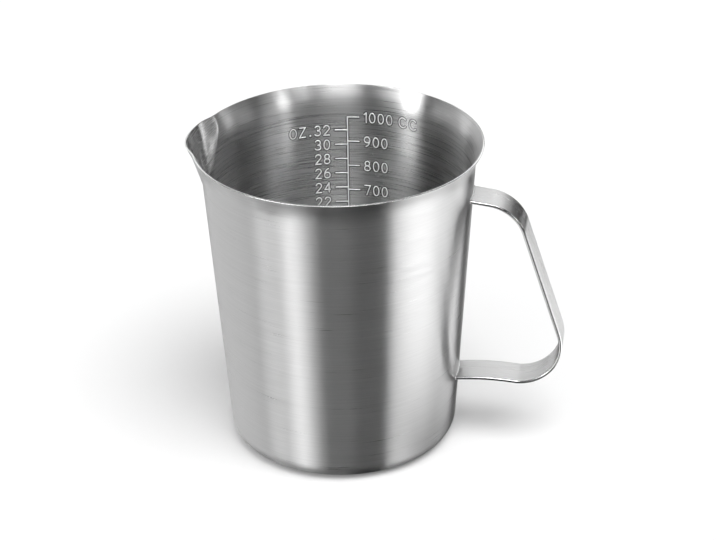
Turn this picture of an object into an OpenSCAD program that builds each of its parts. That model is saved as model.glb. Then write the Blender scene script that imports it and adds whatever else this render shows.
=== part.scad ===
// Measuring jug in brushed stainless steel.
// One drawn sheet body with a flared rim and a pressed spout, and a strap handle welded to its wall.
// Origin at the centre of the base, +Z up, handle towards +X, spout towards -X, in millimetres.

/* [Body] */
// Height of the rim above the table
jug_h = 134; // [110:1:160]
// Outside diameter of the wall, carried straight down to the table
foot_d = 95.8; // [84:0.2:104]
// Outside diameter of the wall at the bend where the flare starts
neck_d = 113; // [106:0.2:124]
// Thickness of the sheet
sheet_t = 0.7; // [0.5:0.1:1.2]
// Outside radius of the bottom corner
corner_r = 8.2; // [4:0.2:14]

/* [Rim] */
// Height of the flared band under the rim
flare_h = 6.5; // [4:0.1:12]
// How far the flare leads out from the neck
flare_out = 3.5; // [1.5:0.1:6]
// Outside radius of the soft bend at the foot of the flare, which may be limited by the flare's length
flare_r = 18; // [2:0.5:24]
// Width of the broken edge round the outside of the rim
rim_bevel = 0.4; // [0.1:0.05:0.5]

/* [Spout] */
// How far the lip would stand out past the rim, at the rim's height
spout_reach = 3.7; // [2.2:0.1:7]
// How far the lip's slope falls below the rim over that reach
spout_droop = 0.8; // [0.2:0.1:2]
// Depth of the punch's point below the rim
spout_depth = 41; // [34:0.5:46]
// Lean of the spout's front line from the vertical
spout_lean = 15.4; // [13:0.2:19]
// Half angle of the conical punch that presses the spout
spout_half_angle = 33; // [28:0.5:40]
// Lean of the front line where it turns out into the lip
lip_lean = 23; // [20:0.5:32]
// Depth below the rim at which the front line turns out into the lip
lip_depth = 6; // [3:0.1:9]
// Outside radius of that turn
lip_r = 20; // [4:1:30]

/* [Handle] */
// Width of the strap
strap_w = 15; // [10:0.5:22]
// Thickness of the strap
strap_t = 1.5; // [1:0.1:2.5]
// Drop from the rim to the strap's middle where its upper end meets the wall
handle_drop = 21.2; // [16:0.2:34]
// Height of the strap's middle along its lower run
handle_low_z = 29.4; // [20:0.2:45]
// Distance from the jug's axis to the outermost point of the handle
handle_reach = 94.1; // [84:0.1:110]
// Fall of the upper run below the horizontal
upper_fall = 7.5; // [0:0.5:15]
// Lean of the grip from the vertical
grip_lean = 18; // [8:0.5:24]
// Radius of the bends at the middle of the strap, of which the upper one may be limited by the wall
bend_r = 18; // [12:0.5:22]

/* [Welds] */
// Leg of the weld bead round each end of the strap
weld_leg = 0.6; // [0.3:0.1:1.2]
// Root gap that the weld fills between the strap's end and the wall
weld_root = 0.2; // [0.1:0.05:0.5]

/* [Hidden] */
$fn = 128;

steel_colour = [0.74, 0.74, 0.75];
strap_colour = [0.8, 0.8, 0.8];
weld_colour = [0.86, 0.86, 0.86];

// Steps along each round stretch of an outline, each bend of the handle and each edge of its strap
arc_steps = 10;
bend_steps = 18;
edge_steps = 6;
// Length by which a cutting shape runs past what it cuts
overrun = 2;

foot_r = foot_d / 2;
neck_r = neck_d / 2;
neck_z = jug_h - flare_h;
rim_r = neck_r + flare_out;
flare_angle = atan2(flare_out, flare_h);
flare_dir = [sin(flare_angle), cos(flare_angle)];

// Outside radius of the tapered wall at height z
function wall_r(z) = foot_r + (neck_r - foot_r) * z / neck_z;

function unit(v) = v / norm(v);
function left_of(v) = [-v.y, v.x];
function cross_2d(a, b) = a.x * b.y - a.y * b.x;

// Point where the line through p along u meets the line through q along v
function meet(p, u, q, v) = p + u * cross_2d(q - p, v) / cross_2d(u, v);

// Corner b of the path a, b, c, moved to the left of the path by d
function inset_corner(a, b, c, d) =
    let (u = unit(b - a), v = unit(c - b))
    meet(b + left_of(u) * d, u, b + left_of(v) * d, v);

// Centre of the arc of radius r that rounds corner b of the path a, b, c
function round_centre(a, b, c, r) =
    let (turn = sign(cross_2d(b - a, c - b)))
    inset_corner(a, b, c, turn * r);

// Points of that arc, from the line a, b to the line b, c
function rounded(a, b, c, r) =
    let (
        o = round_centre(a, b, c, r),
        turn = sign(cross_2d(b - a, c - b)),
        u = -left_of(unit(b - a)) * turn,
        v = -left_of(unit(c - b)) * turn,
        sweep = acos(u * v) * turn,
        start = atan2(u.y, u.x)
    )
    [for (i = [0 : arc_steps]) let (t = start + sweep * i / arc_steps) o + r * [cos(t), sin(t)]];

// Outer line of the sheet in half section: base centre, bottom corner, neck, rim
base_point = [0, 0];
corner_point = [foot_r, 0];
neck_point = [neck_r, neck_z];
rim_point = [rim_r, jug_h];

// Inner line of the sheet, one thickness to the left of the outer one
inner_base = [0, sheet_t];
inner_corner = inset_corner(base_point, corner_point, neck_point, sheet_t);
inner_neck = inset_corner(corner_point, neck_point, rim_point, sheet_t);
inner_rim = rim_point + left_of(flare_dir) * sheet_t + flare_dir * overrun;

// The bend at the foot of the flare leaves a flat band under the rim
flat_band = 1;
flare_turn = flare_angle - atan2(neck_r - foot_r, neck_z);
flare_room = norm(rim_point - neck_point) - rim_bevel - flat_band;
flare_bend_r = min(flare_r, flare_room / tan(flare_turn / 2));

// The spout is pressed by a leaning cone whose point lies inside the wall and whose mouth turns out
spout_tip = rim_r + spout_reach;
lip_turn = lip_lean - spout_lean;
lip_foot = spout_tip - lip_depth * tan(lip_lean);
punch_lean = spout_half_angle - spout_lean;
punch_point = [-(lip_foot - (spout_depth - lip_depth) * tan(spout_lean)), 0, jug_h - spout_depth];
// Half section of the punch about its own axis: its point, the turn and the edge of its mouth
mouth_dir = [sin(spout_half_angle + lip_turn), cos(spout_half_angle + lip_turn)];
punch_base = [0, 0];
punch_turn = [tan(spout_half_angle), 1] * (spout_depth - lip_depth) * cos(spout_half_angle) / cos(spout_lean);
punch_edge = punch_turn + mouth_dir * spout_depth;
// The lip falls away from the rim's plane along a slope that starts at the rim
lip_fall = atan2(spout_droop, spout_reach);
lip_cut = 2 * spout_tip;

// The handle's middle line in the XZ plane, as [point, angle of the outward normal] along the strap:
// lower run, lower bend, grip, upper bend and upper run
grip_normal = grip_lean;
upper_normal = 90 - upper_fall;
grip_dir = [-sin(grip_lean), cos(grip_lean)];
upper_dir = [-cos(upper_fall), sin(upper_fall)];
handle_top_z = jug_h - handle_drop;
upper_seat = [wall_r(handle_top_z), handle_top_z];
lower_seat = [wall_r(handle_low_z), handle_low_z];
lower_bend = [handle_reach - strap_t / 2 - bend_r, handle_low_z + bend_r];
grip_foot = lower_bend - left_of(grip_dir) * bend_r;
// The upper bend rounds the corner of the grip and the upper run, and leaves a straight run to the wall
least_run = 4;
upper_corner = meet(grip_foot, grip_dir, upper_seat, upper_dir);
upper_room = (upper_seat - upper_corner) * upper_dir - least_run;
upper_bend_r = min(bend_r, upper_room / tan((upper_normal - grip_normal) / 2));
upper_bend = round_centre(grip_foot, upper_corner, upper_seat, upper_bend_r);
// How far inside the wall each run starts, so that the wall can cut its end to shape
cope = strap_w / 2;
lower_run = [lower_seat - [cope, 0], [lower_bend.x, handle_low_z]];
upper_run = [upper_bend - left_of(upper_dir) * upper_bend_r, upper_seat + upper_dir * cope];

function bend(centre, r, from, to) = [
    for (i = [0 : bend_steps])
        let (a = from + (to - from) * i / bend_steps)
        [centre + r * [cos(a), sin(a)], a]
];

handle_line = concat(
    [[lower_run[0], -90]],
    bend(lower_bend, bend_r, -90, grip_normal),
    bend(upper_bend, upper_bend_r, grip_normal, upper_normal),
    [[upper_run[1], upper_normal]]
);

// Section of the strap with round edges, as [across the thickness, across the width], larger by grow
function strap_section(grow) = [
    for (side = [1, -1])
        for (i = [0 : edge_steps])
            let (a = 90 - side * 90 + 180 * i / edge_steps)
            [
                (strap_t / 2 + grow) * cos(a),
                side * (strap_w - strap_t) / 2 + (strap_t / 2 + grow) * sin(a)
            ]
];

// Outside of the body, filled
module body_outside() {
    rotate_extrude()
        polygon(concat(
            [base_point],
            rounded(base_point, corner_point, neck_point, corner_r),
            rounded(corner_point, neck_point, rim_point, flare_bend_r),
            [rim_point - flare_dir * rim_bevel, rim_point - [rim_bevel, 0], [0, jug_h]]
        ));
}

// Room inside the body, open past the rim
module body_inside() {
    rotate_extrude()
        polygon(concat(
            [inner_base],
            rounded(inner_base, inner_corner, inner_neck, corner_r - sheet_t),
            rounded(inner_corner, inner_neck, inner_rim, flare_bend_r + sheet_t),
            [inner_rim, [0, inner_rim.y]]
        ));
}

// Conical punch with its flared mouth, drawn smaller all round by inset
module spout_punch(inset) {
    point = [0, inset / sin(spout_half_angle)];
    turn = inset_corner(punch_base, punch_turn, punch_edge, inset);
    edge = punch_edge + left_of(mouth_dir) * inset;
    translate(punch_point)
        rotate([0, punch_lean, 0])
            rotate_extrude()
                polygon(concat(
                    [point],
                    rounded(point, turn, edge, lip_r + inset),
                    [edge, [0, edge.y]]
                ));
}

// Everything below the rim's plane, and below the falling lip out past the rim
module below_lip() {
    difference() {
        cylinder(h = jug_h, r = spout_tip + overrun);
        translate([-rim_r, 0, jug_h])
            rotate([0, -lip_fall, 0])
                translate([-lip_cut, -lip_cut / 2, 0])
                    cube(lip_cut);
    }
}

// Tapered wall as a plain cone, drawn larger by grow
module wall_cone(grow) {
    cylinder(h = neck_z, r1 = foot_r + grow, r2 = neck_r + grow);
}

// Strap swept along its line in the XZ plane
module swept_strap(line) {
    section = strap_section(0);
    count = len(section);
    last = (len(line) - 1) * count;
    points = [
        for (place = line)
            for (p = section)
                [place[0].x + p.x * cos(place[1]), p.y, place[0].y + p.x * sin(place[1])]
    ];
    sides = [
        for (ring = [0 : count : last - count])
            for (i = [0 : count - 1])
                let (j = (i + 1) % count)
                [ring + i, ring + count + i, ring + count + j, ring + j]
    ];
    first_cap = [for (i = [0 : count - 1]) i];
    last_cap = [for (i = [count - 1 : -1 : 0]) last + i];
    polyhedron(points, concat(sides, [first_cap, last_cap]));
}

// Straight run of strap from one point of the XZ plane to another, larger all round by the weld's leg
module weld_blank(from, to) {
    along = to - from;
    translate([from.x, 0, from.y])
        rotate([0, atan2(along.x, along.y), 0])
            linear_extrude(norm(along))
                polygon(strap_section(weld_leg));
}

// Weld bead round the end of one run of the strap, with the root that it fills
module weld_bead(run) {
    difference() {
        intersection() {
            weld_blank(run[0], run[1]);
            wall_cone(weld_leg);
        }
        wall_cone(0);
        handle();
    }
}

module jug_body() {
    color(steel_colour)
        difference() {
            union() {
                body_outside();
                intersection() {
                    spout_punch(0);
                    below_lip();
                }
            }
            body_inside();
            spout_punch(sheet_t);
        }
}

module handle() {
    color(strap_colour)
        difference() {
            swept_strap(handle_line);
            wall_cone(weld_root);
        }
}

module upper_weld() {
    color(weld_colour)
        weld_bead(upper_run);
}

module lower_weld() {
    color(weld_colour)
        weld_bead(lower_run);
}

jug_body();
handle();
upper_weld();
lower_weld();
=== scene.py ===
"""Brushed steel measuring jug: its visible pieces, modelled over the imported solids, and a white studio."""

import math

import bpy
import numpy as np
from bpy.props import FloatProperty, FloatVectorProperty, PointerProperty
from mathutils import Matrix, Vector


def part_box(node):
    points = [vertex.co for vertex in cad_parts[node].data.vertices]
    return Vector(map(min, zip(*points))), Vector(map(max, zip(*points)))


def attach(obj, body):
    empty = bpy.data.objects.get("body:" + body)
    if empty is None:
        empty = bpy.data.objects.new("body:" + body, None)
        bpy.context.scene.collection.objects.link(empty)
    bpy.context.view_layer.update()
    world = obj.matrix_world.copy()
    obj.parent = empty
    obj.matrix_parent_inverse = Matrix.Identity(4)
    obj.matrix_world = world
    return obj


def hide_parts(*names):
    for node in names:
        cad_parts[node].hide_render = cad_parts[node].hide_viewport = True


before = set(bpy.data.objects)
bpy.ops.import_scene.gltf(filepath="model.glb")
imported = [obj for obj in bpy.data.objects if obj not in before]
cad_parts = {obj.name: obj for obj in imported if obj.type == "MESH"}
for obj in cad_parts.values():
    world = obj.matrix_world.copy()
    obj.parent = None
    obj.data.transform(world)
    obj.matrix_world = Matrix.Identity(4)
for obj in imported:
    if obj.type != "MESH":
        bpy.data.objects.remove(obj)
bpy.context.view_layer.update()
BODY_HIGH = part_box("jug_body")[1]
HANDLE_LOW, HANDLE_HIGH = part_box("handle")

bl_info = {
    "name": "Measuring Jug",
    "version": (1, 0, 0),
    "blender": (4, 5, 0),
    "location": "3D View > Sidebar > Jug",
    "description": "Models a brushed steel measuring jug with its scale, strap handle and welds",
    "category": "Add Mesh",
}

MM = 0.001


# Sizes and colours

def length(name, description, default):
    """A length in metres, shown with its unit."""
    return FloatProperty(name=name, description=description, default=default, precision=5, unit="LENGTH")


def angle(name, description, degrees):
    """An angle, given in degrees and kept in radians."""
    return FloatProperty(name=name, description=description, default=math.radians(degrees), subtype="ANGLE")


def share(name, description, default):
    """A value from 0 to 1."""
    return FloatProperty(name=name, description=description, default=default, min=0, max=1, subtype="FACTOR")


def colour(name, description, default):
    """A linear colour."""
    return FloatVectorProperty(
        name=name, description=description, default=default, size=3, min=0, max=1, subtype="COLOR"
    )


class BodySizes(bpy.types.PropertyGroup):
    rim_height: length("Rim height", "Height of the rim above the table", BODY_HIGH.z)
    foot_radius: length("Foot radius", "Outside radius of the wall, carried down to the table", 47.9 * MM)
    neck_radius: length("Neck radius", "Outside radius where the flare starts", 56.5 * MM)
    rim_radius: length("Rim radius", "Outside radius of the rim", 60 * MM)
    flare_height: length("Flare height", "Height of the flared band under the rim", 6.5 * MM)
    sheet: length("Sheet", "Thickness of the sheet", 0.7 * MM)
    corner_radius: length("Corner radius", "Outside radius of the bottom corner", 8.2 * MM)
    neck_bend: length("Neck bend", "Outside radius of the soft bend at the foot of the flare", 18 * MM)
    edge_round: length("Edge round", "Rounding of the two edges of the cut rim", 0.16 * MM)
    spout_reach: length("Spout reach", "How far the lip would stand past the rim, at its height", 3.7 * MM)
    spout_droop: length("Spout droop", "Fall of the lip's slope below the rim over that reach", 0.8 * MM)
    spout_depth: length("Spout depth", "Depth of the punch's point below the rim", 41 * MM)
    spout_lean: angle("Spout lean", "Lean of the spout's front line from the vertical", 15.4)
    spout_half_angle: angle("Spout half angle", "Half angle of the conical punch that presses the spout", 33)
    lip_lean: angle("Lip lean", "Lean of the front line where it turns out into the lip", 23)
    lip_depth: length("Lip depth", "Depth below the rim where the front line turns out into the lip", 6 * MM)
    lip_bend: length("Lip bend", "Outside radius of that turn", 20 * MM)
    spout_crease: length("Spout crease", "Softness of the creases where the spout leaves the wall", 0.9 * MM)


class HandleSizes(bpy.types.PropertyGroup):
    strap_width: length("Strap width", "Width of the strap", HANDLE_HIGH.y - HANDLE_LOW.y)
    strap_thickness: length("Strap thickness", "Thickness of the strap", 1.5 * MM)
    top_height: length("Top height", "Height of the middle of the strap's upper end, at the wall", 112.8 * MM)
    low_height: length("Low height", "Height of the strap's middle along its lower run", 29.4 * MM)
    reach: length("Reach", "Distance from the axis to the outermost point of the handle", HANDLE_HIGH.x)
    upper_fall: angle("Upper fall", "Fall of the upper run below the horizontal", 7.5)
    grip_lean: angle("Grip lean", "Lean of the grip from the vertical", 18)
    bend_radius: length("Bend radius", "Radius of both bends at the middle of the strap", 18 * MM)
    run_bow: length("Run bow", "How far the lower run bows up between the wall and its bend", 0.7 * MM)
    bead_radius: length("Bead radius", "Radius of the weld bead round each end of the strap", 0.42 * MM)


class ScaleSizes(bpy.types.PropertyGroup):
    full_height: length("Full mark", "Height of the mark for 1000 cc", 120.1 * MM)
    crowding: FloatProperty(
        name="Crowding", description="Power by which the marks draw closer as the bore widens", default=0.923
    )
    stem_heading: angle("Stem heading", "Direction from the axis to the stem of the scale", 95.1)
    stroke_half: length("Stroke half width", "Half width of the raised strokes", 0.34 * MM)
    stroke_proud: length("Stroke height", "How far the strokes stand proud of the wall", 0.2 * MM)
    # The outline round each stroke is painted shade: a thin dark band that stands for the shade beside the
    # raised strokes
    outline_half: length("Outline half width", "Half width of the dull outline round each stroke", 0.7 * MM)
    outline_proud: length("Outline height", "How far the outline stands proud of the wall", 0.04 * MM)
    numeral_height: length("Numeral height", "Height of a numeral along the middle of its strokes", 4.4 * MM)
    numeral_pitch: length("Numeral pitch", "Distance from one numeral to the next", 3.9 * MM)


class SteelFinish(bpy.types.PropertyGroup):
    body_tone: colour("Body", "Steel of the body", (0.62, 0.62, 0.62))
    edge_tone: colour("Cut edge", "Bright steel of the cut rim", (0.80, 0.80, 0.80))
    handle_tone: colour("Handle", "Steel of the strap", (0.68, 0.68, 0.68))
    bead_tone: colour("Beads", "Steel of the weld beads", (0.72, 0.72, 0.72))
    mark_tone: colour("Scale", "Steel of the raised strokes", (0.94, 0.94, 0.94))
    # Painted shade: colour of the dark band laid round each raised stroke for its shade on the wall
    outline_tone: colour("Scale outline", "Dark steel painted round the raised strokes as their shade", (0.15, 0.15, 0.15))
    body_roughness: share("Body roughness", "Mean roughness of the brushed wall outside", 0.32)
    inner_roughness: share("Inner roughness", "Mean roughness of the brushed wall inside", 0.29)
    spout_roughness: share("Spout roughness", "Mean roughness inside the spout, smoothed by the press", 0.26)
    band_roughness: share("Band roughness", "Mean roughness inside the flare, polished with the rim", 0.31)
    handle_roughness: share("Handle roughness", "Mean roughness of the brushed strap", 0.3)


class StudioSizes(bpy.types.PropertyGroup):
    camera_place: FloatVectorProperty(
        name="Camera", description="Place of the camera", default=(0.1362, -0.8050, 0.5088), size=3,
        subtype="XYZ", unit="LENGTH",
    )
    camera_heading: angle("Heading", "Turn of the camera about the vertical", 9.096)
    camera_tilt: angle("Tilt", "Tilt of the camera up from straight down", 61.98)
    camera_roll: angle("Roll", "Turn of the camera about its own line of sight", -1.083)
    lens: FloatProperty(
        name="Lens", description="Focal length of the camera in millimetres", default=110.6,
        subtype="DISTANCE_CAMERA",
    )
    floor_tone: colour("Floor", "Paint of the floor", (0.8, 0.8, 0.8))
    floor_lift: share("Floor lift", "Light added to the floor as the eye sees it", 0.11)
    ambient: share("Ambient", "Even light from all round the room", 0.38)
    lamp_level: FloatProperty(name="Lamps", description="Mean strength of the soft lamps", default=1.5, min=0)


# Helpers shared by the pieces

MERGE_DISTANCE = 1e-6
SMOOTH_ANGLE = math.radians(40)
ROUND_SMOOTH_ANGLE = math.radians(60)


def clear_selection():
    """Back to object mode with nothing selected."""
    if bpy.context.object and bpy.context.object.mode != "OBJECT":
        bpy.ops.object.mode_set(mode="OBJECT")
    bpy.ops.object.select_all(action="DESELECT")


def make_active(piece):
    """Selects one piece alone."""
    clear_selection()
    piece.select_set(True)
    bpy.context.view_layer.objects.active = piece


def name_piece(name):
    """Names the object that was just added, and its mesh."""
    piece = bpy.context.object
    piece.name = name
    piece.data.name = name
    return piece


def read_points(piece):
    """The piece's vertices as rows of x, y and z."""
    points = np.empty(len(piece.data.vertices) * 3)
    piece.data.vertices.foreach_get("co", points)
    return points.reshape(-1, 3)


def write_points(piece, points):
    """Puts moved vertices back."""
    piece.data.vertices.foreach_set("co", np.ascontiguousarray(points, dtype=np.float32).ravel())
    piece.data.update()


def recalculate_normals(piece):
    """Merges doubles and turns the faces outwards."""
    make_active(piece)
    bpy.ops.object.mode_set(mode="EDIT")
    bpy.ops.mesh.select_all(action="SELECT")
    bpy.ops.mesh.remove_doubles(threshold=MERGE_DISTANCE)
    bpy.ops.mesh.normals_make_consistent(inside=False)
    bpy.ops.object.mode_set(mode="OBJECT")


def finish_piece(piece, materials, nodes=(), smooth=SMOOTH_ANGLE):
    """Smooths, paints and seats a piece on the part's one body."""
    make_active(piece)
    bpy.ops.object.shade_smooth_by_angle(angle=smooth)
    piece.data.materials.clear()
    for material in materials:
        piece.data.materials.append(material)
    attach(piece, "root")
    for node in nodes:
        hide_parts(node)


def select_group(piece, group):
    """Goes into edit mode with one vertex group of a piece selected alone."""
    make_active(piece)
    bpy.ops.object.mode_set(mode="EDIT")
    bpy.ops.mesh.select_all(action="DESELECT")
    bpy.ops.object.vertex_group_set_active(group=group)
    bpy.ops.object.vertex_group_select()


def round_corner(before, corner, after, radius, steps):
    """Points of the arc that rounds one corner of a flat outline."""
    into = (corner - before).normalized()
    out = (after - corner).normalized()
    turn = math.atan2(into.x * out.y - into.y * out.x, into.dot(out))
    start = corner - into * radius * math.tan(abs(turn) / 2)
    spoke = Vector((into.y, -into.x)) * math.copysign(radius, turn)
    centre = start - spoke
    return [centre + Matrix.Rotation(turn * i / steps, 2) @ spoke for i in range(steps + 1)]


def run_of(start, end, spacing):
    """Points from start towards end at about one spacing, without the two ends."""
    steps = max(1, round((end - start).length / spacing))
    return [start.lerp(end, i / steps) for i in range(1, steps)]


# Steel

# Brush lines: how far apart they are, how long, and their detail
FINE_LINES = (0.3 * MM, 30 * MM, 2.0)
BROAD_LINES = (1.6 * MM, 60 * MM, 1.0)
FINE_PART = 0.8
LINE_ROUGHNESS = 0.6
# Contrast of the lines in the colour, and depth of their relief
OUTSIDE_LINES = (0.07, 0.012 * MM)
INSIDE_LINES = (0.14, 0.026 * MM)
SPOUT_LINES = (0.05, 0.006 * MM)
STRAP_LINES = (0.05, 0.008 * MM)
# Highlights are drawn out across the lines, a quarter of a turn from the tangent
ACROSS_LINES = 0.25
# Most of a noise lies between these two values
NOISE_LOW, NOISE_HIGH = 0.3, 0.7
BRUSH_SWING = 0.05
MOTTLE_SWING = 0.06
MOTTLE_SCALE = 900.0
MOTTLE_DETAIL = 2.0
CUT_RIM_ROUGHNESS = 0.22
STRAP_EDGE_ROUGHNESS = 0.16
BEAD_ROUGHNESS = 0.28
# Roughness of the dark band of painted shade round the scale's strokes
OUTLINE_ROUGHNESS = 0.5
MARK_ROUGHNESS = 0.45
MARK_METALLIC = 0.15


def feed(tree, socket, value):
    """Links an input to another socket, or sets it to a constant."""
    if isinstance(value, bpy.types.NodeSocket):
        tree.links.new(value, socket)
    else:
        socket.default_value = value


def add_node(tree, kind, **values):
    """A shader node with some of its settings, and some of its inputs set or linked."""
    node = tree.nodes.new(kind)
    for key, value in values.items():
        if hasattr(node, key):
            setattr(node, key, value)
        else:
            feed(tree, node.inputs[key], value)
    return node


def calculate(tree, operation, *values):
    """One step of arithmetic on sockets or numbers."""
    node = add_node(tree, "ShaderNodeMath", operation=operation)
    for socket, value in zip(node.inputs, values):
        feed(tree, socket, value)
    return node.outputs[0]


def spread(tree, value, low, high, to_low, to_high, smooth=False):
    """Maps a socket from one range to another."""
    shape = "SMOOTHSTEP" if smooth else "LINEAR"
    node = add_node(tree, "ShaderNodeMapRange", interpolation_type=shape, Value=value)
    for key, number in zip(("From Min", "From Max", "To Min", "To Max"), (low, high, to_low, to_high)):
        node.inputs[key].default_value = number
    return node.outputs["Result"]


def split_place(tree, kind="Object"):
    """Texture coordinates of one kind, and their three parts."""
    place = add_node(tree, "ShaderNodeTexCoord").outputs[kind]
    return place, add_node(tree, "ShaderNodeSeparateXYZ", Vector=place).outputs


def flat_place(tree, x, y):
    """Two parts of a place as a flat vector."""
    return add_node(tree, "ShaderNodeCombineXYZ", X=x, Y=y).outputs[0]


def length_of(tree, vector):
    """Length of a vector."""
    return add_node(tree, "ShaderNodeVectorMath", operation="LENGTH", Vector=vector).outputs["Value"]


def steel_base(name, tone, roughness, axis):
    """A metal with its highlights drawn out across the brush lines, which run round one axis."""
    material = bpy.data.materials.new(name)
    material.use_nodes = True
    tree = material.node_tree
    shader = tree.nodes["Principled BSDF"]
    shader.inputs["Base Color"].default_value = (*tone, 1)
    shader.inputs["Metallic"].default_value = 1
    shader.inputs["Roughness"].default_value = roughness
    if axis:
        shader.inputs["Anisotropic"].default_value = 1
        shader.inputs["Anisotropic Rotation"].default_value = ACROSS_LINES
        tangent = add_node(tree, "ShaderNodeTangent", direction_type="RADIAL", axis=axis)
        tree.links.new(tangent.outputs[0], shader.inputs["Tangent"])
    return material, tree, shader


def brush_lines(tree, across, along, line, drift, detail):
    """Noise drawn out into fine lines: quick in one socket, slow in a vector."""
    slow = add_node(tree, "ShaderNodeVectorMath", operation="SCALE", Vector=along, Scale=1 / drift)
    quick = add_node(tree, "ShaderNodeCombineXYZ", Z=calculate(tree, "DIVIDE", across, line))
    place = add_node(tree, "ShaderNodeVectorMath", operation="ADD", Vector=slow.outputs[0])
    tree.links.new(quick.outputs[0], place.inputs[1])
    noise = add_node(
        tree, "ShaderNodeTexNoise", Vector=place.outputs[0], Scale=1, Detail=detail, Roughness=LINE_ROUGHNESS
    )
    return noise.outputs["Fac"]


def brush(tree, shader, tone, roughness, across, along, contrast, depth):
    """Brush lines in a steel's colour, in its relief and, about a mean, in its roughness."""
    fine = brush_lines(tree, across, along, *FINE_LINES)
    broad = brush_lines(tree, across, along, *BROAD_LINES)
    fine_part = calculate(tree, "MULTIPLY", fine, FINE_PART)
    grain = calculate(tree, "ADD", fine_part, calculate(tree, "MULTIPLY", broad, 1 - FINE_PART))
    mixed = add_node(tree, "ShaderNodeMix", data_type="RGBA")
    mixed.inputs["A"].default_value = (*(c * (1 - contrast) for c in tone), 1)
    mixed.inputs["B"].default_value = (*(min(1, c * (1 + contrast)) for c in tone), 1)
    tree.links.new(spread(tree, grain, NOISE_LOW, NOISE_HIGH, 0, 1), mixed.inputs["Factor"])
    tree.links.new(mixed.outputs["Result"], shader.inputs["Base Color"])
    swing = spread(tree, grain, NOISE_LOW, NOISE_HIGH, -BRUSH_SWING, BRUSH_SWING)
    tree.links.new(calculate(tree, "ADD", swing, roughness), shader.inputs["Roughness"])
    relief = add_node(tree, "ShaderNodeBump", Strength=1.0, Distance=depth, Height=fine)
    tree.links.new(relief.outputs["Normal"], shader.inputs["Normal"])


def turned_steel(name, tone, roughness, lines, band=None):
    """Sheet brushed as it turned: lines round the axis, rings on the base and, if given, a polished band.

    The band is the heights between which the roughness changes, and the roughness that it changes to.
    """
    material, tree, shader = steel_base(name, tone, roughness, "Z")
    _, parts = split_place(tree)
    level = flat_place(tree, parts["X"], parts["Y"])
    across = calculate(tree, "ADD", parts["Z"], length_of(tree, level))
    if band:
        low, high, polished = band
        roughness = spread(tree, parts["Z"], low, high, roughness, polished, smooth=True)
    brush(tree, shader, tone, roughness, across, level, *lines)
    return material


def strap_steel(name, tone, roughness):
    """Strap that was brushed along its length, in the plane of the handle."""
    material, tree, shader = steel_base(name, tone, roughness, "Y")
    _, parts = split_place(tree)
    brush(tree, shader, tone, roughness, parts["Y"], flat_place(tree, parts["X"], parts["Z"]), *STRAP_LINES)
    return material


def bright_steel(name, tone, roughness, metallic=1):
    """Small polished steel with a faint mottle and no brush lines, or frosted where it is less metallic."""
    material, tree, shader = steel_base(name, tone, roughness, None)
    shader.inputs["Metallic"].default_value = metallic
    place, _ = split_place(tree)
    noise = add_node(tree, "ShaderNodeTexNoise", Vector=place, Scale=MOTTLE_SCALE, Detail=MOTTLE_DETAIL)
    low, high = roughness - MOTTLE_SWING, roughness + MOTTLE_SWING
    mottle = spread(tree, noise.outputs["Fac"], NOISE_LOW, NOISE_HIGH, low, high)
    tree.links.new(mottle, shader.inputs["Roughness"])
    return material


# Body

COLUMNS = 360
SPOUT_SHARE = 0.33
CORNER_STEPS = 14
NECK_STEPS = 18
COARSE = 8 * MM
FINE = 0.42 * MM
FIRST_RING = 3 * MM
PUNCH_HALVINGS = 30
PUNCH_CORE = 48 * MM
PUNCH_MISSED = PUNCH_CORE * 1.01
BELOW_SPOUT = 2 * MM
LIP_ROUNDS = 6
SHARP_EDGE = math.radians(60)
EDGE_SEGMENTS = 3
BAND_BELOW_NECK = 7 * MM
BAND_ABOVE_NECK = 1 * MM
# Slots for the outside, the cut rim and the inside, first of the plain wall and then of the spout
RIM_SLOT = 1
INSIDE_SLOT = 2
SPOUT_SLOT = 3


def wall_slope(body):
    """How fast the tapered wall's radius grows with height."""
    return (body.neck_radius - body.foot_radius) / (body.rim_height - body.flare_height)


def wall_radius(body, height):
    """Outside radius of the tapered wall at a height."""
    return body.foot_radius + wall_slope(body) * height


def bore_radius(body, height):
    """Inside radius of the tapered wall at a height."""
    return wall_radius(body, height) - body.sheet * math.hypot(1, wall_slope(body))


def outer_line(sizes):
    """Stations of the sheet's outer line from the middle of the base to the rim, as radius and height."""
    middle = Vector((FIRST_RING, 0))
    corner = Vector((sizes.foot_radius, 0))
    neck = Vector((sizes.neck_radius, sizes.rim_height - sizes.flare_height))
    rim = Vector((sizes.rim_radius, sizes.rim_height))
    flare = (rim - neck).normalized()
    cut = rim - flare * (sizes.sheet * flare.x / flare.y)
    low_arc = round_corner(middle, corner, neck, sizes.corner_radius, CORNER_STEPS)
    neck_arc = round_corner(corner, neck, rim, sizes.neck_bend, NECK_STEPS)
    start = sizes.rim_height - sizes.spout_depth - BELOW_SPOUT
    below = low_arc[-1].lerp(neck_arc[0], (start - low_arc[-1].y) / (neck_arc[0].y - low_arc[-1].y))
    return [
        middle,
        *run_of(middle, low_arc[0], COARSE),
        *low_arc,
        *run_of(low_arc[-1], below, COARSE),
        below,
        *run_of(below, neck_arc[0], FINE),
        *neck_arc,
        *run_of(neck_arc[-1], cut, FINE),
        cut,
    ]


def punch_section(sizes, along):
    """Half width of the conical punch at a distance along its own axis, with its mouth turned out."""
    half = sizes.spout_half_angle
    mouth = half + sizes.lip_lean - sizes.spout_lean
    turn = (sizes.spout_depth - sizes.lip_depth) * math.cos(half) / math.cos(sizes.spout_lean)
    reach = sizes.lip_bend * math.tan((mouth - half) / 2) * math.cos((mouth + half) / 2)
    gain = math.tan(mouth) - math.tan(half)
    soft = np.clip(1 - np.abs(along - turn) / reach, 0, 1) ** 2 * reach / 4
    return along * math.tan(half) + gain * (np.maximum(along - turn, 0) + soft)


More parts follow.
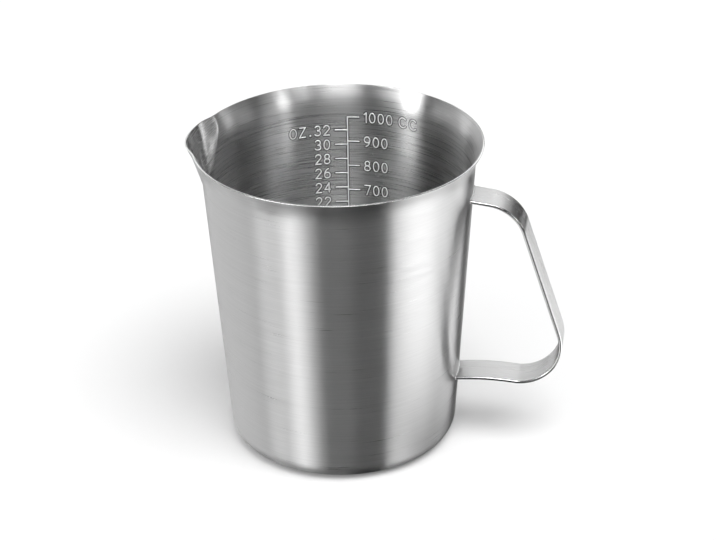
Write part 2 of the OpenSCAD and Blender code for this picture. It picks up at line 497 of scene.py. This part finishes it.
def punch_radius(sizes, cosine, sine, height):
    """Distance from the jug's axis to the far side of the leaning punch, or 0 where a ray misses it."""
    lip_foot = sizes.rim_radius + sizes.spout_reach - sizes.lip_depth * math.tan(sizes.lip_lean)
    point_out = lip_foot - (sizes.spout_depth - sizes.lip_depth) * math.tan(sizes.spout_lean)
    lean = sizes.spout_half_angle - sizes.spout_lean
    axis_out, axis_up = -math.sin(lean), math.cos(lean)
    rise = height - (sizes.rim_height - sizes.spout_depth)
    near, far = np.zeros(len(height)), np.full(len(height), 2 * sizes.rim_radius)
    for _ in range(PUNCH_HALVINGS):
        middle = (near + far) / 2
        out, side = middle * cosine - point_out, middle * sine
        along = out * axis_out + rise * axis_up
        across = np.hypot(out * axis_up - rise * axis_out, side)
        within = (middle < PUNCH_CORE) | ((along > 0) & (across < punch_section(sizes, along)))
        near, far = np.where(within, middle, near), np.where(within, far, middle)
    return np.where(near > PUNCH_MISSED, near, 0)


def press_spout(body, sizes):
    """Bunches the columns towards -X and pushes the wall out to the punch.

    The creases are soft, the lip droops, and the spout's faces get a slot of their own.
    """
    points = read_points(body)
    radius = np.hypot(points[:, 0], points[:, 1])
    share_round = np.angle(-points[:, 0] - 1j * points[:, 1]) / math.pi
    heading = math.pi * (SPOUT_SHARE * share_round + (1 - SPOUT_SHARE) * share_round**3)
    cosine, sine = np.cos(heading), np.sin(heading)

    lip = np.zeros(len(points))
    for _ in range(LIP_ROUNDS):
        lip_out = punch_radius(sizes, cosine, sine, sizes.rim_height - lip) * cosine - sizes.rim_radius
        lip = np.clip(lip_out / sizes.spout_reach, 0, 1) * sizes.spout_droop
    up = np.clip(1 - (sizes.rim_height - points[:, 2]) / sizes.spout_depth, 0, 1)
    points[:, 2] -= lip * up

    punch = punch_radius(sizes, cosine, sine, points[:, 2])
    near = np.maximum(sizes.spout_crease - np.abs(radius - punch), 0) / sizes.spout_crease
    pressed = np.maximum(radius, punch) + near**2 * sizes.spout_crease / 4
    points[:, 0] = -pressed * cosine
    points[:, 1] = -pressed * sine
    write_points(body, points)
    in_spout = punch > radius - sizes.spout_crease
    for polygon in body.data.polygons:
        polygon.material_index = SPOUT_SLOT if in_spout[list(polygon.vertices)].all() else 0


class JUG_OT_draw_body(bpy.types.Operator):
    """Draw the sheet body, press its spout and round its cut rim"""

    bl_idname = "jug.draw_body"
    bl_label = "Draw Body"

    def execute(self, context):
        sizes = context.scene.jug_body
        finish = context.scene.jug_finish
        stations = outer_line(sizes)
        clear_selection()
        bpy.ops.mesh.primitive_circle_add(
            vertices=COLUMNS, radius=stations[0].x, fill_type="TRIFAN", enter_editmode=True
        )
        body = name_piece("body_sheet")
        bpy.ops.mesh.region_to_loop()
        for last, station in zip(stations, stations[1:]):
            grow = station.x / last.x
            bpy.ops.mesh.extrude_region_move(TRANSFORM_OT_translate={"value": (0, 0, station.y - last.y)})
            bpy.ops.transform.resize(value=(grow, grow, 1), center_override=(0, 0, 0))
        bpy.ops.object.mode_set(mode="OBJECT")
        for _ in range(2 * SPOUT_SLOT):
            body.data.materials.append(None)
        press_spout(body, sizes)
        recalculate_normals(body)

        wall = body.modifiers.new("Sheet", "SOLIDIFY")
        wall.thickness = sizes.sheet
        wall.offset = -1
        wall.use_even_offset = True
        wall.use_quality_normals = True
        wall.material_offset_rim = RIM_SLOT
        wall.material_offset = INSIDE_SLOT
        bpy.ops.object.modifier_apply(modifier=wall.name)

        bpy.ops.object.mode_set(mode="EDIT")
        bpy.ops.mesh.select_mode(type="EDGE")
        bpy.ops.mesh.select_all(action="DESELECT")
        bpy.ops.mesh.edges_select_sharp(sharpness=SHARP_EDGE)
        bpy.ops.mesh.bevel(offset=sizes.edge_round, segments=EDGE_SEGMENTS, affect="EDGES")
        bpy.ops.object.mode_set(mode="OBJECT")

        tone = finish.body_tone
        neck = sizes.rim_height - sizes.flare_height
        band = (neck - BAND_BELOW_NECK, neck + BAND_ABOVE_NECK, finish.band_roughness)
        steel = turned_steel("turned_body_steel", tone, finish.body_roughness, OUTSIDE_LINES)
        inner = turned_steel("turned_inner_steel", tone, finish.inner_roughness, INSIDE_LINES, band)
        pressed = turned_steel("pressed_spout_steel", tone, finish.spout_roughness, SPOUT_LINES)
        edge = bright_steel("cut_rim_steel", finish.edge_tone, CUT_RIM_ROUGHNESS)
        keep = [polygon.material_index for polygon in body.data.polygons]
        finish_piece(body, (steel, edge, inner, steel, edge, pressed), ("jug_body",))
        body.data.polygons.foreach_set("material_index", keep)
        return {"FINISHED"}


# Scale

STROKE_STEPS = 20
CC_TICK = 5.0 * MM
CC_START = 7.3 * MM
CC_UNIT_START = 23.3 * MM
OZ_TICK = 5.4 * MM
OZ_END = 7.9 * MM
OZ_UNIT_START = 25.5 * MM
CC_PITCH = 5.2 * MM
OZ_PITCH = 4.4 * MM
NUMERAL_WIDTH = 0.56
CC_MARKS = range(100, 1001, 100)
OZ_MARKS = range(4, 33, 2)
CC_PER_OZ = 29.574
LOWEST_CC = 80
SHARP_TURN = math.radians(50)
SAME_PLACE = 1e-7
TUBE_ROUNDNESS = 2
# Round end of a stroke: how far past its last point, and the radius there, in half widths
ROUND_END = ((0.5, 0.87), (0.87, 0.5), (0.99, 0.1))


def sweep(across, up, wide, tall, start, end):
    """Points of an elliptical stroke, in numeral heights, between two angles in degrees."""
    angles = np.radians(np.linspace(start, end, STROKE_STEPS + 1))
    return [(across + wide * math.cos(a), up + tall * math.sin(a)) for a in angles]


def turned_round(strokes, width):
    """The same strokes turned by half a turn."""
    return [[(width - x, 1 - y) for x, y in stroke] for stroke in strokes]


SIX = [sweep(0.28, 0.3, 0.28, 0.3, 0, 360), sweep(0.52, 0.3, 0.52, 0.7, 180, 104)]
STROKES = {
    "0": [sweep(0.28, 0.5, 0.28, 0.5, 0, 360)],
    "1": [[(0.02, 0.8), (0.22, 1), (0.22, 0)]],
    "2": [sweep(0.28, 0.73, 0.27, 0.27, 168, -36) + [(0.0, 0.0), (0.56, 0.0)]],
    "3": [sweep(0.27, 0.755, 0.25, 0.245, 155, -90) + sweep(0.27, 0.255, 0.29, 0.255, 90, -155)],
    "4": [[(0.43, 0), (0.43, 1), (0, 0.29), (0.56, 0.29)]],
    "5": [[(0.52, 1), (0.09, 1), (0.04, 0.5)] + sweep(0.27, 0.32, 0.29, 0.32, 138, -155)],
    "6": SIX,
    "7": [[(0, 1), (0.56, 1), (0.2, 0)]],
    "8": [sweep(0.28, 0.755, 0.23, 0.245, 0, 360), sweep(0.28, 0.255, 0.28, 0.255, 0, 360)],
    "9": turned_round(SIX, NUMERAL_WIDTH),
    "C": [sweep(0.41, 0.5, 0.41, 0.5, 45, 315)],
    "O": [sweep(0.34, 0.5, 0.34, 0.5, 0, 360)],
    "Z": [[(0.03, 1), (0.6, 1), (0, 0), (0.62, 0)]],
    ".": [sweep(0.1, 0.06, 0.05, 0.05, 0, 360)],
}
NARROW = {"1": 0.6}


def written(words, start, middle, height, pitch):
    """Strokes of a short text, placed by its start along the wall and its middle height."""
    strokes = []
    for letter in words:
        for stroke in STROKES[letter]:
            strokes.append([(start + x * height, middle + (y - 0.5) * height) for x, y in stroke])
        start += pitch * NARROW.get(letter, 1)
    return strokes


def scale_strokes(sizes):
    """Every stroke of the scale, as distance along the wall to the right of the stem and height."""
    tall, pitch = sizes.numeral_height, sizes.numeral_pitch
    strokes = []

    def mark_height(cc):
        return sizes.full_height * (cc / CC_MARKS[-1]) ** sizes.crowding

    for cc in CC_MARKS:
        z = mark_height(cc)
        strokes.append([(0, z), (CC_TICK, z)])
        strokes += written(str(cc), CC_START, z, tall, pitch)
    strokes += written("CC", CC_UNIT_START, sizes.full_height, tall, CC_PITCH)
    for oz in OZ_MARKS:
        z = mark_height(oz * CC_PER_OZ)
        figures = str(oz)
        start = -OZ_END - (len(figures) - 1) * pitch - tall * NUMERAL_WIDTH
        strokes.append([(-OZ_TICK, z), (0, z)])
        strokes += written(figures, start, z, tall, pitch)
    strokes += written("OZ.", -OZ_UNIT_START, mark_height(OZ_MARKS[-1] * CC_PER_OZ), tall, OZ_PITCH)
    strokes.append([(0, mark_height(LOWEST_CC)), (0, sizes.full_height)])
    return strokes


def broken_at_corners(stroke):
    """The stroke's parts between its sharp corners, where one bent tube would lose its width."""
    points = []
    for place in map(Vector, stroke):
        if not points or (place - points[-1]).length > SAME_PLACE:
            points.append(place)
    parts = [points[:1]]
    for before, here, after in zip(points, points[1:], points[2:]):
        parts[-1].append(here)
        if (here - before).angle(after - here) > SHARP_TURN:
            parts.append([here])
    parts[-1].append(points[-1])
    return parts


def soft_ends(points, radius):
    """The points of a stroke with their radii, with round ends where it is open, and whether it is closed."""
    if (points[0] - points[-1]).length < SAME_PLACE:
        return [(p, 1) for p in points[:-1]], True
    first = (points[0] - points[1]).normalized() * radius
    last = (points[-1] - points[-2]).normalized() * radius
    head = [(points[0] + first * reach, size) for reach, size in reversed(ROUND_END)]
    tail = [(points[-1] + last * reach, size) for reach, size in ROUND_END]
    return head + [(p, 1) for p in points] + tail, False


def add_stroke(curve, sizes, body, points, closed):
    """Adds one stroke to a curve, laid round the bore."""
    spline = curve.splines.new("POLY")
    spline.points.add(len(points) - 1)
    spline.use_cyclic_u = closed
    for point, (place, size) in zip(spline.points, points):
        radius = bore_radius(body, place.y)
        heading = sizes.stem_heading - place.x / radius
        point.co = (radius * math.cos(heading), radius * math.sin(heading), place.y, 1)
        point.radius = size


def lay_strokes(name, sizes, body, half, proud):
    """Draws every stroke of the scale along the bore and flattens it against the wall."""
    curve = bpy.data.curves.new(name, "CURVE")
    curve.dimensions = "3D"
    curve.bevel_depth = half
    curve.bevel_resolution = TUBE_ROUNDNESS
    curve.use_fill_caps = True
    for stroke in scale_strokes(sizes):
        for part in broken_at_corners(stroke):
            add_stroke(curve, sizes, body, *soft_ends(part, half))
    marks = bpy.data.objects.new(name, curve)
    bpy.context.collection.objects.link(marks)
    make_active(marks)
    bpy.ops.object.convert(target="MESH")
    marks = name_piece(name)
    points = read_points(marks)
    out = np.hypot(points[:, 0], points[:, 1])
    wall = bore_radius(body, points[:, 2])
    points[:, :2] *= ((wall + (out - wall) * proud / half) / out)[:, None]
    write_points(marks, points)
    recalculate_normals(marks)
    return marks


class JUG_OT_raise_scale(bpy.types.Operator):
    """Raise the stem, ticks and numerals of the scale on the inner wall, each over a dark band of painted
    shade
    """

    bl_idname = "jug.raise_scale"
    bl_label = "Raise Scale"

    def execute(self, context):
        sizes = context.scene.jug_scale
        body = context.scene.jug_body
        finish = context.scene.jug_finish
        # The outlines are painted shade: a thin dark band under each stroke that stands for the shade round
        # it on the wall
        outlines = lay_strokes("painted_shade_outlines", sizes, body, sizes.outline_half, sizes.outline_proud)
        painted_shade = bright_steel("painted_shade_steel", finish.outline_tone, OUTLINE_ROUGHNESS)
        finish_piece(outlines, (painted_shade,), smooth=ROUND_SMOOTH_ANGLE)
        marks = lay_strokes("scale_marks", sizes, body, sizes.stroke_half, sizes.stroke_proud)
        bright = bright_steel("raised_mark_steel", finish.mark_tone, MARK_ROUGHNESS, MARK_METALLIC)
        finish_piece(marks, (bright,), smooth=ROUND_SMOOTH_ANGLE)
        return {"FINISHED"}


# Handle

EDGE_STEPS = 10
FACE_CUTS = 12
LOWER_STEPS = 40
UPPER_STEPS = 26
RUN_STEP = 3 * MM
EDGE_ROUND_SHARE = 0.498
COPE_ROUNDS = 12
END_TOLERANCE = 1e-5
BEAD_ROUNDNESS = 3
# End of the strap, the bead round it, and the solid that the bead replaces
BEADS = (("upper_end", "upper_bead", "upper_weld"), ("lower_end", "lower_bead", "lower_weld"))


def handle_plan(sizes, body):
    """Centres of the two bends in the handle's plane, as x and z, and the directions of its runs."""
    grip = Vector((-math.sin(sizes.grip_lean), math.cos(sizes.grip_lean)))
    upper = Vector((-math.cos(sizes.upper_fall), math.sin(sizes.upper_fall)))
    bend = sizes.bend_radius
    low = Vector((sizes.reach - sizes.strap_thickness / 2 - bend, sizes.low_height + bend))
    seat = Vector((wall_radius(body, sizes.top_height), sizes.top_height))
    start = seat + Vector((-upper.y, upper.x)) * bend
    across = start - low
    reach = (across.x * upper.y - across.y * upper.x) / (grip.x * upper.y - grip.y * upper.x)
    return low, low + grip * reach, grip, upper, reach, seat


def push_run(direction, distance):
    """Extrudes the selected ring of the strap along a straight run, in short steps."""
    steps = max(1, round(distance / RUN_STEP))
    step = direction * (distance / steps)
    for _ in range(steps):
        bpy.ops.mesh.extrude_region_move(TRANSFORM_OT_translate={"value": (step.x, 0, step.y)})


def cope_to_wall(points, ends, direction, body):
    """Slides one end's points along the strap until they meet the round wall."""
    for _ in range(COPE_ROUNDS):
        gap = np.hypot(points[ends, 0], points[ends, 1]) - wall_radius(body, points[ends, 2])
        points[ends, 0] += direction.x * gap / abs(direction.x)
        points[ends, 2] += direction.y * gap / abs(direction.x)


def draw_ring(sizes, place):
    """Draws the outline of the strap's section, standing at the start of its lower run."""
    clear_selection()
    upright = (0, math.radians(90), 0)
    bpy.ops.mesh.primitive_plane_add(size=1, location=place, rotation=upright, enter_editmode=True)
    strap = name_piece("strap_handle")
    bpy.ops.transform.resize(value=(1, sizes.strap_width, sizes.strap_thickness), center_override=place)
    edge_round = sizes.strap_thickness * EDGE_ROUND_SHARE
    bpy.ops.mesh.bevel(offset=edge_round, segments=EDGE_STEPS, affect="VERTICES", clamp_overlap=True)
    bpy.ops.object.mode_set(mode="OBJECT")
    bpy.ops.object.transform_apply(location=True, rotation=True, scale=True)
    bpy.ops.object.mode_set(mode="EDIT")
    bpy.ops.mesh.select_all(action="SELECT")
    bpy.ops.mesh.delete(type="ONLY_FACE")
    bpy.ops.mesh.select_mode(type="EDGE")
    bpy.ops.mesh.select_all(action="DESELECT")
    bpy.ops.object.mode_set(mode="OBJECT")
    long_edge = sizes.strap_width / 4
    for edge in strap.data.edges:
        a, b = (strap.data.vertices[i].co for i in edge.vertices)
        edge.select = abs(a.y - b.y) > long_edge
    bpy.ops.object.mode_set(mode="EDIT")
    bpy.ops.mesh.subdivide(number_cuts=FACE_CUTS)
    bpy.ops.mesh.select_all(action="SELECT")
    return strap


def spin_bend(centre, turn, steps):
    """Spins the selected ring of the strap round the centre of a bend."""
    bpy.ops.mesh.spin(steps=steps, angle=turn, center=(centre.x, 0, centre.y), axis=(0, 1, 0))


def fit_ends(strap, sizes, body, low, high, upper, seat):
    """Bows the lower run, copes both ends of the strap to the wall and closes them."""
    start = wall_radius(body, sizes.low_height)
    points = read_points(strap)
    on_run = (points[:, 0] < low.x) & (points[:, 2] < low.y)
    along = (points[on_run, 0] - start) / (low.x - start)
    points[on_run, 2] += sizes.run_bow * np.sin(math.pi * along)
    at_low = np.abs(points[:, 0] - start) < END_TOLERANCE
    along = (points[:, 0] - seat.x) * upper.x + (points[:, 2] - seat.y) * upper.y
    at_high = (np.abs(along) < END_TOLERANCE) & (points[:, 2] > high.y)
    if not at_low.any() or not at_high.any():
        raise RuntimeError("an end of the strap was not found")
    cope_to_wall(points, at_low, Vector((-1, 0)), body)
    cope_to_wall(points, at_high, upper, body)
    write_points(strap, points)
    for group, ends in (("lower_end", at_low), ("upper_end", at_high)):
        strap.vertex_groups.new(name=group).add([int(i) for i in np.flatnonzero(ends)], 1, "REPLACE")
        select_group(strap, group)
        bpy.ops.mesh.edge_face_add()
        bpy.ops.object.mode_set(mode="OBJECT")


class JUG_OT_bend_handle(bpy.types.Operator):
    """Bend the strap handle and fit its two ends to the wall"""

    bl_idname = "jug.bend_handle"
    bl_label = "Bend Handle"

    def execute(self, context):
        sizes = context.scene.jug_handle
        body = context.scene.jug_body
        finish = context.scene.jug_finish
        low, high, grip, upper, grip_length, seat = handle_plan(sizes, body)
        start = wall_radius(body, sizes.low_height)
        strap = draw_ring(sizes, (start, 0, sizes.low_height))
        push_run(Vector((1, 0)), low.x - start)
        spin_bend(low, math.radians(90) + sizes.grip_lean, LOWER_STEPS)
        push_run(grip, grip_length)
        spin_bend(high, math.radians(90) - sizes.upper_fall - sizes.grip_lean, UPPER_STEPS)
        tangent = high - Vector((-upper.y, upper.x)) * sizes.bend_radius
        push_run(upper, (seat - tangent).length)
        bpy.ops.object.mode_set(mode="OBJECT")
        fit_ends(strap, sizes, body, low, high, upper, seat)
        recalculate_normals(strap)
        steel = strap_steel("brushed_strap_steel", finish.handle_tone, finish.handle_roughness)
        edge = bright_steel("strap_edge_steel", finish.handle_tone, STRAP_EDGE_ROUGHNESS)
        finish_piece(strap, (steel, edge), ("handle",))
        flat = (sizes.strap_width - sizes.strap_thickness) / 2
        for polygon in strap.data.polygons:
            polygon.material_index = int(abs(polygon.center.y) > flat)
        return {"FINISHED"}


class JUG_OT_lay_beads(bpy.types.Operator):
    """Lay a weld bead round each end of the strap"""

    bl_idname = "jug.lay_beads"
    bl_label = "Lay Beads"

    def execute(self, context):
        sizes = context.scene.jug_handle
        strap = bpy.data.objects["strap_handle"]
        steel = bright_steel("polished_bead_steel", context.scene.jug_finish.bead_tone, BEAD_ROUGHNESS)
        for end, name, node in BEADS:
            select_group(strap, end)
            bpy.ops.mesh.duplicate()
            bpy.ops.mesh.separate(type="SELECTED")
            bpy.ops.object.mode_set(mode="OBJECT")
            bead = next(piece for piece in context.selected_objects if piece != strap)
            make_active(bead)
            bpy.ops.object.mode_set(mode="EDIT")
            bpy.ops.mesh.select_all(action="SELECT")
            bpy.ops.mesh.delete(type="ONLY_FACE")
            bpy.ops.object.mode_set(mode="OBJECT")
            bpy.ops.object.convert(target="CURVE")
            bead = context.object
            bead.data.bevel_depth = sizes.bead_radius
            bead.data.bevel_resolution = BEAD_ROUNDNESS
            bpy.ops.object.convert(target="MESH")
            bead = name_piece(name)
            recalculate_normals(bead)
            finish_piece(bead, (steel,), (node,), smooth=ROUND_SMOOTH_ANGLE)
        return {"FINISHED"}


# Studio

# Soft panels of light: heading from the camera, half width and soft edge, then lowest and highest elevation
# and soft edge, all in degrees, and the level that the panel adds
STUDIO_PANELS = (
    ("front_floor", 0, 40, 10, -62, -5, 8, 0.02),
    ("right_floor", 88, 39, 8, -56, -9.5, 5, 1.8),
    ("right_glow", 74, 14, 10, -56, -11, 6, 0.75),
    ("grip_light", 115, 9, 5, -16, -6, 4, 2.8),
    ("back_floor", 168, 9, 3, -36, -26, 3, 2.2),
    ("under_floor", 196, 24, 10, -90, -52, 6, 3.0),
    ("spout_light", 88, 15, 7, 6, 12, 3, 2.2),
    ("spout_streak", 101, 4, 3, 4, 9, 2, 5.2),
    ("left_floor", -112, 40, 10, -50, 4, 8, 0.8),
    ("left_glow", -42, 12, 19, -50, 4, 8, 2.4),
    ("left_rim", -106, 24, 10, 6, 14, 3, 2.2),
    ("left_strip", -65, 8, 6, 12, 48, 8, 4.4),
    ("left_base", -65, 8, 5, 12, 22, 5, 9.5),
    ("left_upper", -65, 8, 6, 52, 72, 5, 13.0),
    ("right_strip", 45, 4.5, 4, 12, 24, 5, 10.0),
    ("right_soft", 58, 9, 6, 16, 44, 5, 0.75),
    ("right_upper", 40, 5, 4, 50, 74, 5, 14.0),
    ("front_box", -3, 21, 11, 50, 68, 5, 9.6),
    ("backdrop", 180, 43, 7, 13, 60, 4, 1.1),
    ("backdrop_core", 148, 10, 5, 11, 60, 4, 0.5),
    ("low_backdrop", 206, 24, 8, -14, 13, 5, 0.65),
    ("top_box", 0, 180, 1, 72, 120, 6, 0.4),
)
STUDIO_DARK = 0.04
# Shades on the floor as the steel shows it: heading from the camera, half width and soft edge in degrees,
# then the distances from the axis where the shade starts and ends, and the share of light left at its start
FLOOR_SHADES = (
    ("contact", 0, 200, 1, 44 * MM, 54 * MM, 0.1),
    ("right_shade", 100, 70, 25, 50 * MM, 170 * MM, 0.3),
)
FLOOR_HOLE = 39 * MM
FLOOR_REACH = 4
FLOOR_SIDES = 128
WHITE = (1, 1, 1, 1)
SENSOR_WIDTH = 36
NEAREST_SEEN = 0.01
# Lamps that only the floor and the frosted marks show: heading from the camera, elevation and softness in
# degrees, and the share of the lamps' strength
LAMPS = (("left_lamp", -20, 48, 62, 0.6), ("right_lamp", 38, 66, 40, 1.4))


def panel_window(tree, value, low, high, edge):
    """A soft-edged window that is 1 between two angles."""
    rise = spread(tree, value, math.radians(low - edge), math.radians(low + edge), 0, 1, smooth=True)
    fall = spread(tree, value, math.radians(high - edge), math.radians(high + edge), 1, 0, smooth=True)
    return calculate(tree, "MULTIPLY", rise, fall)


def heading_window(tree, around, heading, half, edge):
    """A soft-edged window that is 1 within half a width of one heading."""
    turned = calculate(tree, "SUBTRACT", around, heading)
    side = calculate(tree, "ABSOLUTE", calculate(tree, "WRAP", turned, math.pi, -math.pi))
    return spread(tree, side, math.radians(half - edge), math.radians(half + edge), 1, 0, smooth=True)


def mix_shaders(tree, factor, first, second):
    """The first shader where the factor is 0, and the second where it is 1."""
    node = add_node(tree, "ShaderNodeMixShader")
    for value, socket in zip((factor, first.outputs[0], second.outputs[0]), node.inputs):
        tree.links.new(value, socket)
    return node


def seen_by_eye(tree, path):
    """1 for what the camera sees, also through glass."""
    return calculate(tree, "MAXIMUM", path.outputs["Is Camera Ray"], path.outputs["Is Transmission Ray"])


def studio_room(stage, camera_heading):
    """World that is white to the eye and shows the steel a dark room with soft panels."""
    world = bpy.data.worlds.new("studio_room")
    world.cycles.sampling_method = "NONE"
    world.use_nodes = True
    tree = world.node_tree
    tree.nodes.clear()
    _, toward = split_place(tree, "Generated")
    around = calculate(tree, "ARCTAN2", toward["Y"], toward["X"])
    elevation = calculate(tree, "ARCSINE", toward["Z"])
    level = STUDIO_DARK
    for _, heading, half, edge, low, high, soft, strength in STUDIO_PANELS:
        wide = heading_window(tree, around, camera_heading + math.radians(heading), half, edge)
        tall = panel_window(tree, elevation, low, high, soft)
        lit = calculate(tree, "MULTIPLY", calculate(tree, "MULTIPLY", wide, tall), strength)
        level = calculate(tree, "ADD", lit, level)
    path = add_node(tree, "ShaderNodeLightPath")
    steel_view, even, white = (
        add_node(tree, "ShaderNodeBackground", Color=WHITE, Strength=strength)
        for strength in (level, stage.ambient, 1.0)
    )
    glossy = mix_shaders(tree, path.outputs["Is Glossy Ray"], even, steel_view)
    seen = mix_shaders(tree, seen_by_eye(tree, path), glossy, white)
    add_node(tree, "ShaderNodeOutputWorld", Surface=seen.outputs[0])
    return world


def floor_shades(tree, camera_heading):
    """Share of the room's light that is left over the floor as the steel shows it."""
    place, parts = split_place(tree)
    around = calculate(tree, "ARCTAN2", parts["Y"], parts["X"])
    out = length_of(tree, place)
    left = 1.0
    for _, heading, half, edge, start, end, share_there in FLOOR_SHADES:
        wide = heading_window(tree, around, camera_heading + math.radians(heading), half, edge)
        taken = spread(tree, out, start, end, 1 - share_there, 0, smooth=True)
        kept = calculate(tree, "SUBTRACT", 1.0, calculate(tree, "MULTIPLY", wide, taken))
        left = calculate(tree, "MULTIPLY", kept, left)
    return left


def floor_paint(stage, camera_heading):
    """White paint that takes shadows: lifted for the eye, clear but shaded to the steel, clear from below."""
    material = bpy.data.materials.new("floor_paint")
    material.use_nodes = True
    tree = material.node_tree
    tree.nodes.clear()
    paint = add_node(tree, "ShaderNodeBsdfDiffuse", Color=(*stage.floor_tone, 1))
    path = add_node(tree, "ShaderNodeLightPath")
    lift_level = calculate(tree, "MULTIPLY", seen_by_eye(tree, path), stage.floor_lift)
    lift = add_node(tree, "ShaderNodeEmission", Strength=lift_level)
    top = add_node(tree, "ShaderNodeAddShader")
    tree.links.new(paint.outputs[0], top.inputs[0])
    tree.links.new(lift.outputs[0], top.inputs[1])
    shades = add_node(tree, "ShaderNodeBsdfTransparent", Color=floor_shades(tree, camera_heading))
    shown = mix_shaders(tree, path.outputs["Is Glossy Ray"], top, shades)
    underside = add_node(tree, "ShaderNodeNewGeometry").outputs["Backfacing"]
    sided = mix_shaders(tree, underside, shown, add_node(tree, "ShaderNodeBsdfTransparent"))
    add_node(tree, "ShaderNodeOutputMaterial", Surface=sided.outputs[0])
    return material


class JUG_OT_set_stage(bpy.types.Operator):
    """Set the camera, the white floor, the room and its lamps"""

    bl_idname = "jug.set_stage"
    bl_label = "Set Stage"

    def execute(self, context):
        stage = context.scene.jug_studio
        scene = context.scene
        clear_selection()
        camera = bpy.data.objects.new("photo_camera", bpy.data.cameras.new("photo_camera"))
        scene.collection.objects.link(camera)
        camera.data.sensor_fit = "HORIZONTAL"
        camera.data.sensor_width = SENSOR_WIDTH
        camera.data.lens = stage.lens
        camera.data.clip_start = NEAREST_SEEN
        camera.matrix_world = (
            Matrix.Translation(stage.camera_place)
            @ Matrix.Rotation(stage.camera_heading, 4, "Z")
            @ Matrix.Rotation(stage.camera_tilt, 4, "X")
            @ Matrix.Rotation(stage.camera_roll, 4, "Z")
        )
        scene.camera = camera

        camera_heading = math.atan2(stage.camera_place[1], stage.camera_place[0])
        bpy.ops.mesh.primitive_circle_add(vertices=FLOOR_SIDES, radius=FLOOR_HOLE, enter_editmode=True)
        floor = name_piece("studio_floor")
        bpy.ops.mesh.extrude_region_move()
        grow = FLOOR_REACH / FLOOR_HOLE
        bpy.ops.transform.resize(value=(grow, grow, 1), center_override=(0, 0, 0))
        bpy.ops.mesh.select_all(action="SELECT")
        bpy.ops.object.mode_set(mode="OBJECT")
        if floor.data.polygons[0].normal.z < 0:
            bpy.ops.object.mode_set(mode="EDIT")
            bpy.ops.mesh.flip_normals()
            bpy.ops.object.mode_set(mode="OBJECT")
        floor.data.materials.append(floor_paint(stage, camera_heading))

        scene.world = studio_room(stage, camera_heading)
        for name, heading, elevation, softness, part in LAMPS:
            lamp = bpy.data.objects.new(name, bpy.data.lights.new(name, "SUN"))
            scene.collection.objects.link(lamp)
            lamp.data.energy = stage.lamp_level * part
            lamp.data.angle = math.radians(softness)
            turn = camera_heading + math.radians(heading)
            up = math.radians(elevation)
            toward = Vector((math.cos(up) * math.cos(turn), math.cos(up) * math.sin(turn), math.sin(up)))
            lamp.rotation_euler = toward.to_track_quat("Z", "Y").to_euler()
            lamp.location = toward
            lamp.visible_glossy = False
        scene.view_settings.view_transform = "Standard"
        return {"FINISHED"}


# Panel and registration

class JUG_PT_panel(bpy.types.Panel):
    """Sizes, finishes and steps of the jug"""

    bl_idname = "JUG_PT_panel"
    bl_label = "Measuring Jug"
    bl_space_type = "VIEW_3D"
    bl_region_type = "UI"
    bl_category = "Jug"

    def draw(self, context):
        for operator in OPERATORS:
            self.layout.operator(operator.bl_idname)
        for key in GROUPS:
            group = getattr(context.scene, key)
            box = self.layout.box()
            for name in group.__annotations__:
                box.prop(group, name)


GROUPS = {
    "jug_body": BodySizes,
    "jug_handle": HandleSizes,
    "jug_scale": ScaleSizes,
    "jug_finish": SteelFinish,
    "jug_studio": StudioSizes,
}
OPERATORS = (JUG_OT_draw_body, JUG_OT_raise_scale, JUG_OT_bend_handle, JUG_OT_lay_beads, JUG_OT_set_stage)


def register():
    for key, group in GROUPS.items():
        bpy.utils.register_class(group)
        setattr(bpy.types.Scene, key, PointerProperty(type=group))
    for operator in OPERATORS:
        bpy.utils.register_class(operator)
    bpy.utils.register_class(JUG_PT_panel)


def unregister():
    bpy.utils.unregister_class(JUG_PT_panel)
    for operator in reversed(OPERATORS):
        bpy.utils.unregister_class(operator)
    for key, group in reversed(GROUPS.items()):
        delattr(bpy.types.Scene, key)
        bpy.utils.unregister_class(group)


def main():
    register()
    bpy.ops.jug.draw_body()
    bpy.ops.jug.raise_scale()
    bpy.ops.jug.bend_handle()
    bpy.ops.jug.lay_beads()
    bpy.ops.jug.set_stage()


if __name__ == "__main__":
    main()
